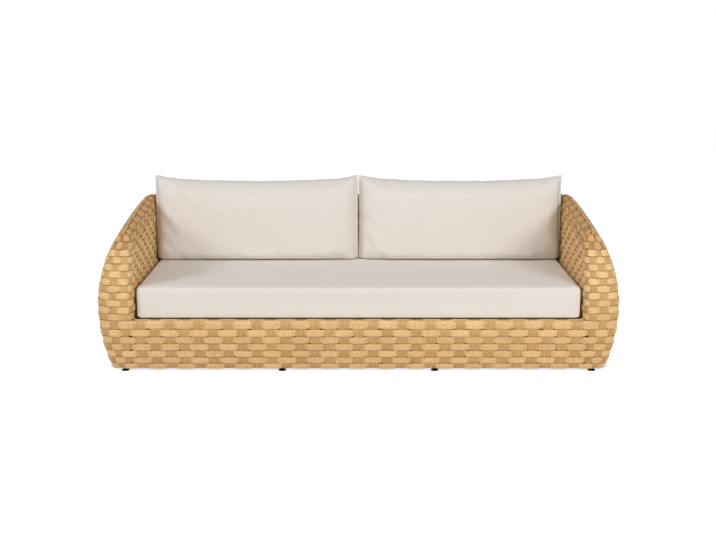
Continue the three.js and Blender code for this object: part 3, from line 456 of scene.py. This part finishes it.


# Bands: flat rattan, 32 mm wide and 4.4 mm thick, that goes over every other stave and under
# the ones between. The middle of the weave lies 4.5 mm inside the shell's face. Each band
# drifts a little in its row, is narrower where it is under, and gets painted shade where it
# goes under and over the roll.
weave_depth, band_thickness, band_swing, band_square = -0.0045, 0.0044, 0.0045, 3.6
band_half_share, band_step, longer_over, edge_swing = 0.49, 0.010, 0.40, 0.4
under_narrowing, width_drift, row_drift, roll_drift, lift_drift = 0.05, 0.02, 0.035, 0.09, 0.0004
# Painted shade: how much darker a band is where it goes under and over the roll, and how far its tone drops
# over the roll.
under_shade, roll_shade, roll_shade_tone, slow_tone, block_tone = 0.35, 0.5, -2.5, 0.6, 0.9
block_spare, grain_spread = 32, 9
top_across = np.sin(np.linspace(-np.pi / 2, np.pi / 2, 13))
band_across = np.append(top_across, [0.75, 0, -0.75])
band_height = np.append(np.sqrt(1 - top_across**8), [-1, -1, -1]) * band_thickness / 2


def band(path, row, half_length, on_apron=False):
    """A band along a row. Its height is the hyperbolic tangent of a raised cosine of row and
    column, so that it is high, for more than half its length, where they add up to an even
    number. Along the apron's top edge it lies flatter."""
    along = np.linspace(-half_length, half_length, int(2 * half_length / band_step))
    column = np.interp(np.abs(along), path[0], path[1])
    over = np.tanh(band_square * (np.cos(np.pi * (column + row)) + longer_over))
    half = band_half_share * (1 - under_narrowing * (1 - over) + width_drift * wander(along))
    on_roll = row >= shoulder_row
    middle = row + 0.5 + (roll_drift if on_roll else row_drift) * wander(along)
    across = middle[:, None] + half[:, None] * band_across
    last_row = apron_row[-1] if on_apron else crest_row
    across = np.clip(across, 2 * row_step, last_row - 2 * row_step)
    if path is arm_path and row == apron_rows:
        limit = row + 2 * row_step + deck_gap / row_pitch * np.clip(-column, 0, 1)
        across = np.maximum(across, limit[:, None])
    swing = np.where(on_apron & (np.abs(along) < seat_side), edge_swing, 1) * band_swing
    lift = weave_depth + swing * over + lift_drift * wander(along)
    lift = lift[:, None] + band_height

    def surface(place, row):
        return shell_point(path, np.abs(place), row, np.where(place < 0, -1, 1), on_apron=on_apron)

    along_all = np.broadcast_to(along[:, None], across.shape)
    place = lifted(surface, along_all, across, lift, along_step)
    width = row_pitch * (across - row - 0.5)
    block = np.floor((column + row + 1) / 2).astype(int) + block_spare * (along < 0)
    # A random tone for each band and block, lowered over the roll as painted shade; low is the painted shade
    # where the band goes under and over the roll.
    tone = chance.uniform(-1, 1) + slow_tone * wander(along)
    tone = tone + block_tone * chance.uniform(-1, 1, 2 * block_spare)[block] + roll_shade_tone * on_roll
    tone = np.broadcast_to(tone[:, None], across.shape)
    low = np.broadcast_to(under_shade * (1 - over[:, None]) + roll_shade * on_roll, across.shape)
    return np.dstack([place, along_all + chance.uniform(0, grain_spread), width, low, tone])


deck_gap, flat_overlap, middle_rows = 0.001, 0.002, 7
ring_bands = [band(ring_path, row, half_ring, on_apron=row == apron_rows - 1) for row in range(apron_rows)]
ring_bands.append(band(ring_path, apron_rows, seat_side + flat_overlap, on_apron=True))
loop_bands = [band(arm_path, row, half_loop) for row in range(apron_rows, crest_row)]
middle_bands, upper_bands = loop_bands[:middle_rows], loop_bands[middle_rows:]
band_finish = rattan_finish("rattan_band", band_half_share * row_pitch)
put_strips("weft_bands_lower", ring_bands, band_finish)
put_strips("weft_bands_middle", middle_bands, band_finish)
put_strips("weft_bands_upper", upper_bands, band_finish)

# Staves: each is five round strands side by side, 47 mm wide on the apron. They start at the
# lower edge, climb the face, cross the crest and end above the seat's deck inside. Those of
# the nose end short of the crest, those of a corner just past it.
stave_thickness, stave_swing, strand_count, strand_groove = 0.0044, 0.0012, 5, 0.0020
stave_half_share, stave_pitch, rings_per_row = 0.36, 0.065, 4
stave_drift, stave_width_drift, stave_drift_rows, stave_slow_tone = 0.03, 0.04, 27, 0.4
# Painted shade: staves lie recessed and are darker all over, more in the grooves between their strands.
stave_shade, groove_shade = 0.28, 1.2
stave_start, nose_end, corner_end = 0.1, crest_row - 0.6, crest_row + 1.2
inner_end, apron_end = 2 * crest_row - apron_rows - 0.2, apron_row[-1] - 0.05
stave_across = np.append(np.linspace(-1, 1, 2 * strand_count + 1), [0.9, 0, -0.9])
groove = np.append(np.arange(2 * strand_count + 1) % 2 == 0, [False] * 3)
stave_height = np.where(groove, stave_thickness / 2 - strand_groove, stave_thickness / 2)
stave_height[[0, 2 * strand_count]] = 0
stave_height[-3:] = -stave_thickness / 2


def stave(path, column, first, last, side=1, on_apron=False):
    """A stave up a column. Its height bobs by a cosine of row and column, so that it lies a
    little lower where a band crosses over it. Past the crest it goes down the inner face."""
    row = np.linspace(first, last, int((last - first) * rings_per_row))
    bob = stave_swing * np.cos(np.pi * (column + row - 0.5))
    middle = column + stave_drift * wander(row, stave_drift_rows)
    half = stave_half_share * (1 + stave_width_drift * wander(row, stave_drift_rows))
    across = middle[:, None] + half[:, None] * stave_across
    lift = side * (weave_depth - bob[:, None] + stave_height)

    def surface(place, row):
        inner = row > crest_row
        place = np.where(inner, 1 - place, place)
        row = np.where(inner, 2 * crest_row - row, row)
        if on_apron:
            return shell_point(path, np.abs(place), row, np.where(place < 0, -side, side), True, True)
        return shell_point(path, place, row, side, by_column=True)

    row_all = np.broadcast_to(row[:, None], across.shape)
    place = lifted(surface, across, row_all, lift, column_step)
    width = stave_pitch * (across - column)
    on_roll = row[:, None] > shoulder_row
    # A random tone for each stave, lowered over the roll as painted shade; low is the painted shade of the
    # recessed stave, its grooves and the roll.
    tone = chance.uniform(-1, 1) + stave_slow_tone * wander(row, stave_drift_rows)
    tone = np.broadcast_to(tone[:, None] + roll_shade_tone * on_roll, across.shape)
    low = stave_shade + groove_shade * groove + roll_shade * on_roll
    return np.dstack([place, row_all * row_pitch + chance.uniform(0, grain_spread), width, low, tone])


corner_start = nose_columns + side_columns
back_start = corner_start + corner_columns
back_seam = back_start + back_columns


def arm_staves(side):
    """The staves of one arm, from its nose to its rear corner. Those inside the nose start at
    the deck, a number of rows up."""
    staves = []
    for column in range(1 - inner_nose_columns, back_start):
        first = stave_start + (apron_rows if column < 0 else 0)
        last = nose_end if column < nose_columns else inner_end
        if column > corner_start:
            last = corner_end
        staves.append(stave(arm_path, column, first, last, side))
    return staves


def mirrored_staves(path, columns, last, on_apron=False):
    """The staves of some columns at the left, then those at the right."""
    return [stave(path, column, stave_start, last, side, on_apron) for side in (-1, 1) for column in columns]


back_staves = mirrored_staves(arm_path, range(back_start, back_seam), inner_end)
back_staves.append(stave(arm_path, back_seam, stave_start, inner_end))
apron_staves = mirrored_staves(ring_path, range(1, apron_columns), apron_end, True)
apron_staves.append(stave(ring_path, 0, stave_start, apron_end, 1, True))
stave_finish = rattan_finish("rattan_stave", stave_half_share * stave_pitch)
put_strips("staves_front_apron", apron_staves, stave_finish)
put_strips("staves_arm_left", arm_staves(-1), stave_finish)
put_strips("staves_arm_right", arm_staves(1), stave_finish)
put_strips("staves_back", back_staves, stave_finish)

# Hidden frame and feet: powder-coated aluminium tube, a black plastic pad and a zinc-plated
# steel stud in each foot. They keep the solids' own shapes. Each finish has a name, a colour,
# roughness, metallic, grains in a metre, how far its roughness varies, and words of its nodes.
frame_words = ("rail", "crossbar", "tube", "rib", "post", "leg", "slat")
grain_strength, grain_depth = 0.15, 0.0002
plain_finishes = (
    ("frame_aluminium", (0.145, 0.10, 0.065), 0.5, 0.4, 900, 0.10, frame_words),
    ("foot_plastic", (0.010, 0.010, 0.010), 0.55, 0.0, 1400, 0.16, ("foot_pad",)),
    ("stud_steel", (0.48, 0.50, 0.52), 0.32, 0.9, 700, 0.12, ("foot_stud",)),
)
for name, colour, roughness, metallic, grain, variation, words in plain_finishes:
    material, tree, shader = new_finish(name, colour, roughness, metallic)
    place = add_node(tree, "TexCoord").outputs["Object"]
    speckle = add_node(tree, "TexNoise", {"Vector": place, "Scale": grain, "Detail": 2.0}).outputs["Fac"]
    spread = {"Value": speckle, "To Min": roughness - variation, "To Max": roughness + variation}
    shine = add_node(tree, "MapRange", spread)
    bump = add_node(tree, "Bump", {"Height": speckle, "Strength": grain_strength, "Distance": grain_depth})
    tree.links.new(shine.outputs["Result"], shader.inputs["Roughness"])
    tree.links.new(bump.outputs["Normal"], shader.inputs["Normal"])
    for node_name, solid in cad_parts.items():
        if any(word in node_name for word in words):
            solid.data.materials.clear()
            solid.data.materials.append(material)

# Cushions: loose covers of off-white canvas over foam and fibre. Each starts as the form that
# it is sewn to, a little slack, and Cloth's pressure then fills it out and gathers its seams.
canvas_tint, canvas_roughness, canvas_sheen = (0.80, 0.75, 0.70), 0.92, 0.15
yarn_pitch, yarn_share, yarn_strength, yarn_depth = 0.0011, 0.4, 0.3, 0.0004
slubs_in_a_metre, slub_dull, slub_bright = (60, 900, 420), 0.965, 1.03
canvas, tree, shader = new_finish("cushion_canvas", canvas_tint, canvas_roughness)
place = add_node(tree, "TexCoord").outputs["Object"]
threads = add_node(tree, "VectorMath", {0: place, 1: (2 * np.pi / yarn_pitch,) * 3}, operation="MULTIPLY")
threads = add_node(tree, "VectorMath", {0: threads.outputs[0]}, operation="SINE")
threads = add_node(tree, "SeparateXYZ", {0: threads.outputs[0]}).outputs
crossed = add_node(tree, "Math", {0: threads["X"], 1: threads["Z"]}, operation="MULTIPLY").outputs[0]
crossed = {0: threads["X"], 1: threads["Y"], 2: crossed}
crossed = add_node(tree, "Math", crossed, operation="MULTIPLY_ADD").outputs[0]
slubs = add_node(tree, "VectorMath", {0: place, 1: slubs_in_a_metre}, operation="MULTIPLY").outputs[0]
slubs = add_node(tree, "TexNoise", {"Vector": slubs, "Scale": 1.0, "Detail": 3.0}).outputs["Fac"]
pale = {"Value": slubs, "From Min": 0.3, "From Max": 0.7, "To Min": slub_dull, "To Max": slub_bright}
pale = add_node(tree, "MapRange", pale).outputs["Result"]
tint = {"Factor": 1.0, "A": (*canvas_tint, 1), "B": pale}
tint = add_node(tree, "Mix", tint, data_type="RGBA", blend_type="MULTIPLY")
relief = add_node(tree, "Math", {0: crossed, 1: yarn_share, 2: slubs}, operation="MULTIPLY_ADD").outputs[0]
bump = add_node(tree, "Bump", {"Height": relief, "Strength": yarn_strength, "Distance": yarn_depth})
tree.links.new(tint.outputs["Result"], shader.inputs["Base Color"])
tree.links.new(bump.outputs["Normal"], shader.inputs["Normal"])
shader.inputs["Sheen Weight"].default_value = canvas_sheen
cloth_mass, cloth_stiffness, cloth_bending, cloth_pressure = 0.4, 12, 0.3, 4
cloth_quality, cloth_frames = 5, 20


def blown(points, faces, spare_cloth, most, held=(1, 1, 1)):
    """Points of a closed cloth form after Cloth's pressure has filled it for some frames with no
    weight. Its cloth is cut larger than the form by a share. No point moves further than the
    most allowed, and along each axis it keeps a share of its move."""
    scene, form = bpy.context.scene, put_mesh("cloth_form", points, faces)
    cloth = form.modifiers.new("filling", "CLOTH")
    cloth.settings.quality = cloth_quality
    cloth.settings.mass = cloth_mass
    cloth.settings.tension_stiffness = cloth.settings.compression_stiffness = cloth_stiffness
    cloth.settings.bending_stiffness = cloth_bending
    cloth.settings.shrink_min = -spare_cloth
    cloth.settings.use_pressure = True
    cloth.settings.uniform_pressure_force = cloth_pressure
    cloth.settings.effector_weights.gravity = 0
    cloth.point_cache.frame_end = cloth_frames
    for number in range(1, cloth_frames + 1):
        scene.frame_set(number)
    end = np.empty(points.size, np.float32)
    filled = form.evaluated_get(bpy.context.evaluated_depsgraph_get())
    filled.data.vertices.foreach_get("co", end)
    bpy.data.objects.remove(form)
    scene.frame_set(1)
    move = end.reshape(-1, 3) - points
    reach = np.linalg.norm(move, axis=1, keepdims=True)
    return points + move * held * most * np.tanh(reach / most) / np.maximum(reach, least_length)


def put_cushion(name, node_name, points, faces, sharp=None):
    """The padded piece that stands for a cushion's solid, pressed into the solid's box and
    smoothed once. An edge keeps its crease where both of its points are sharp."""
    low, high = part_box(node_name)
    made = put_mesh(name, np.clip(points, low, high), faces)
    made.data.materials.append(canvas)
    if sharp is not None:
        ends = np.empty(len(made.data.edges) * 2, np.int32)
        made.data.edges.foreach_get("vertices", ends)
        crease = made.data.attributes.new("crease_edge", "FLOAT", "EDGE").data
        crease.foreach_set("value", sharp[ends.reshape(-1, 2)].all(1).astype(np.float32))
    smooth = made.modifiers.new("smooth", "SUBSURF")
    smooth.levels = smooth.render_levels = 1
    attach(made, node_name)
    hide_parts(node_name)


# Seat cushion: one long box-edged cover over foam, crowned in front of the back cushions. Its
# form is a lattice box whose edges are rounded by a superellipse, squarer below, and whose
# sides draw in between the corners.
seat_low, seat_high = (np.array(corner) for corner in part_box("seat_cushion"))
seat_crown, seat_draw_in, back_thickness = 0.009, 0.003, 0.155
seat_size = seat_high - seat_low - (0, 0, seat_crown)
seat_middle = seat_low + seat_size / 2
seat_edge, seat_slack, seat_cells = 0.022, 0.003, (140, 50, 9)
upper_squareness, lower_squareness, crown_run = 2.0, 7.0, 0.04
seat_spare_cloth, seat_most_move = 0.004, 0.004


def grid_faces(index):
    """Faces of four corners each between the numbered points of a grid."""
    return np.stack([index[:-1, :-1], index[1:, :-1], index[1:, 1:], index[:-1, 1:]], -1).reshape(-1, 4)


def lattice_box(cells):
    """The surface of a box of cells: whole-number places and faces of four corners each, with
    the places that neighbouring sides share merged."""
    places, faces, first = [], [], 0
    for axis in range(3):
        u, v = (axis + 1) % 3, (axis + 2) % 3
        for end in (0, cells[axis]):
            grid = np.zeros((cells[u] + 1, cells[v] + 1, 3), int)
            grid[..., axis] = end
            grid[..., u], grid[..., v] = np.ogrid[: cells[u] + 1, : cells[v] + 1]
            index = first + np.arange(grid[..., 0].size).reshape(grid.shape[:2])
            quads = grid_faces(index)
            faces.append(quads if end else quads[:, ::-1])
            places.append(grid.reshape(-1, 3))
            first += index.size
    places, merged = np.unique(np.concatenate(places), axis=0, return_inverse=True)
    return places, merged.reshape(-1)[np.concatenate(faces)]


def edged_line(half, edge, cells):
    """Places across a cushion: three lines in each rounded edge and even ones between."""
    core = np.linspace(-half + edge, half - edge, cells - 3)
    return np.concatenate([[-half, -half + edge / 3], core, [half - edge / 3, half]])


seat_half = seat_size / 2 - seat_slack
places, faces = lattice_box(seat_cells)
points = np.stack([edged_line(seat_half[a], seat_edge, seat_cells[a])[places[:, a]] for a in range(3)], -1)
core = seat_half - seat_edge
held = np.clip(points, -core, core)
away = points - held
square = np.where(away[:, 2] < 0, lower_squareness, upper_squareness)
reach = (np.hypot(away[:, 0], away[:, 2]) ** square + np.abs(away[:, 1]) ** square) ** (1 / square)
away *= np.where(reach > 0, seat_edge / np.maximum(reach, least_length), 0)[:, None]
across, along, up = (held / core).T
ahead = seat_high[1] - back_thickness - seat_middle[1]
front_share = np.clip((ahead - held[:, 1]) / (ahead + core[1]), 0, 1)
crown = np.where(up > 0, seat_crown * (1 - across**4) * np.sin(np.pi * front_share), 0)
pull = seat_draw_in * (1 - up**2)
points = held + away
points[:, 0] -= pull * np.sign(across) * np.abs(across) ** 8 * (1 - along**2)
points[:, 1] -= pull * np.sign(along) * np.abs(along) ** 8 * (1 - across**2)
points[:, 2] += crown
points += seat_middle
points = blown(points, faces, seat_spare_cloth, seat_most_move)
crown_room = seat_crown * np.clip((ahead + seat_middle[1] - points[:, 1]) / crown_run, 0, 1)
points[:, 2] = np.minimum(points[:, 2], seat_low[2] + seat_size[2] + crown_room)
put_cushion("seat_cushion_cover", "seat_cushion", points, faces)

# Back cushions: two canvas panels sewn round their edge and filled with fibre, so they are
# thick in the middle with thin edges and pointed upper corners. They stand on the seat
# cushion, where their lower edge is pressed flat, and lean against the back. After the cloth
# is blown, its seams are pinched thin and creases and slow folds are added to the front.
back_cells, back_slack, grown, weave_gap = (112, 44), 0.006, 0.006, 0.003
side_power, foot_power, fullness_power = 5, 18, 0.4
pinch_from, flange_share, pinch_share = 0.955, 0.978, 0.93
crease_depth, crease_width, crease_length, crease_count, crease_tilt = 0.006, 0.009, 0.06, 16, 0.4
fold_depth, fold_length, seam_wave, seam_wave_length = 0.0035, 0.6, 0.0012, 0.35
ear_height, ear_point, ear_flare = 0.030, 0.36, 0.002
back_lean, back_draw_in, back_press = 0.034, 0.002, 0.010
back_spare_cloth, back_most_move, back_keeps = 0.025, 0.020, (0.3, 1, 0.3)
back_low, back_high = (np.array(corner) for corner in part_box("back_cushion_right"))
half_thick = back_thickness / 2 - back_slack
half_wide = (back_high[0] - ear_flare - back_low[0]) / 2 + grown
back_tall = back_high[2] - back_low[2] - ear_height + grown


def fullness(share, power):
    """How full a section is at a share of the way out to its seam."""
    return (1 - np.abs(share) ** power) ** fullness_power


def even_line(cells, half, power):
    """Places from -1 to 1 that lie evenly along the arc of a full section."""
    fine = np.linspace(-1, 1, 2001)
    arc = arc_lengths(fine * half, half_thick * fullness(fine, power))
    return np.interp(np.linspace(0, arc[-1], cells + 1), arc, fine)


line_across = even_line(back_cells[0], half_wide, side_power)
line_up = even_line(back_cells[1], back_tall / 2, side_power)
across, up = np.meshgrid(line_across, line_up, indexing="ij")
front = np.arange(across.size).reshape(across.shape)
unsewn = np.zeros(across.shape, bool)
unsewn[1:-1, 1:-1] = True
rear = front.copy()
rear[unsewn] = front.size + np.arange(unsewn.sum())
faces = np.concatenate([grid_faces(front), grid_faces(rear[::-1])])
facing = np.repeat([-1, 1], [front.size, unsewn.sum()])
across, up = np.append(across, across[unsewn]), np.append(up, up[unsewn])
sewn = np.append(~unsewn.ravel(), np.zeros(unsewn.sum(), bool))
full = fullness(across, side_power) * fullness(up, np.where(up < 0, foot_power, side_power))
share_up = (up + 1) / 2
top_line = back_tall + ear_height * ((1 - ear_point) * across**2 + ear_point * across**12)
rise = np.maximum(0, share_up * (top_line + back_press) - back_press)
wide = half_wide - back_draw_in * (1 - up**2) * across**6
wide += ear_flare * np.maximum(0, across) ** 6 * share_up**6
middle = back_high[1] - back_thickness / 2 + back_lean * share_up**2
depth = np.minimum(middle + facing * half_thick * full, back_high[1])
right_form = np.stack([back_low[0] - grown + half_wide + across * wide, depth, back_low[2] + rise], -1)


def creases(place, away):
    """Depths of creases that start at a seam: each a wave across its width that fades along its
    length and leans a little to one side."""
    start = chance.uniform(-half_wide, half_wide, crease_count)
    tilt = chance.uniform(-crease_tilt, crease_tilt, crease_count)
    strength, length = chance.uniform(0.3, 1, (2, crease_count)) * [[crease_depth], [2 * crease_length]]
    off = (place[:, None] - start - tilt * away[:, None]) / crease_width
    return (strength * off * np.exp(-(off**2) - away[:, None] / length)).sum(1)


flange = np.clip((np.abs(across) - pinch_from) / (flange_share - pinch_from), 0, 1)
pinch = 1 - pinch_share * flange**2 * (3 - 2 * flange)
side_gap = 2 * weave_gap * (1 - share_up**4)
for side, name in ((-1, "back_cushion_left"), (1, "back_cushion_right")):
    turned = faces if side > 0 else faces[:, ::-1]
    points = blown(right_form * (side, 1, 1), turned, back_spare_cloth, back_most_move, back_keeps)
    points[:, 1] = middle + (points[:, 1] - middle) * pinch
    place = points[:, 0] - side * (back_low[0] + half_wide)
    folds = creases(place, back_tall * share_up) + creases(place, back_tall * (1 - share_up))
    folds += fold_depth * wander(place + 0.2 * up, fold_length)
    points[:, 1] += folds * (1 - flange) * (facing < 0) * ~sewn
    points[:, 2] += seam_wave * wander(points[:, 0], seam_wave_length) * share_up**9
    points[:, 0] = side * np.minimum(side * points[:, 0], back_high[0] - side_gap)
    points[:, 1] = np.minimum(points[:, 1], back_high[1] - weave_gap)
    put_cushion(name + "_cover", name, points, turned, sewn)
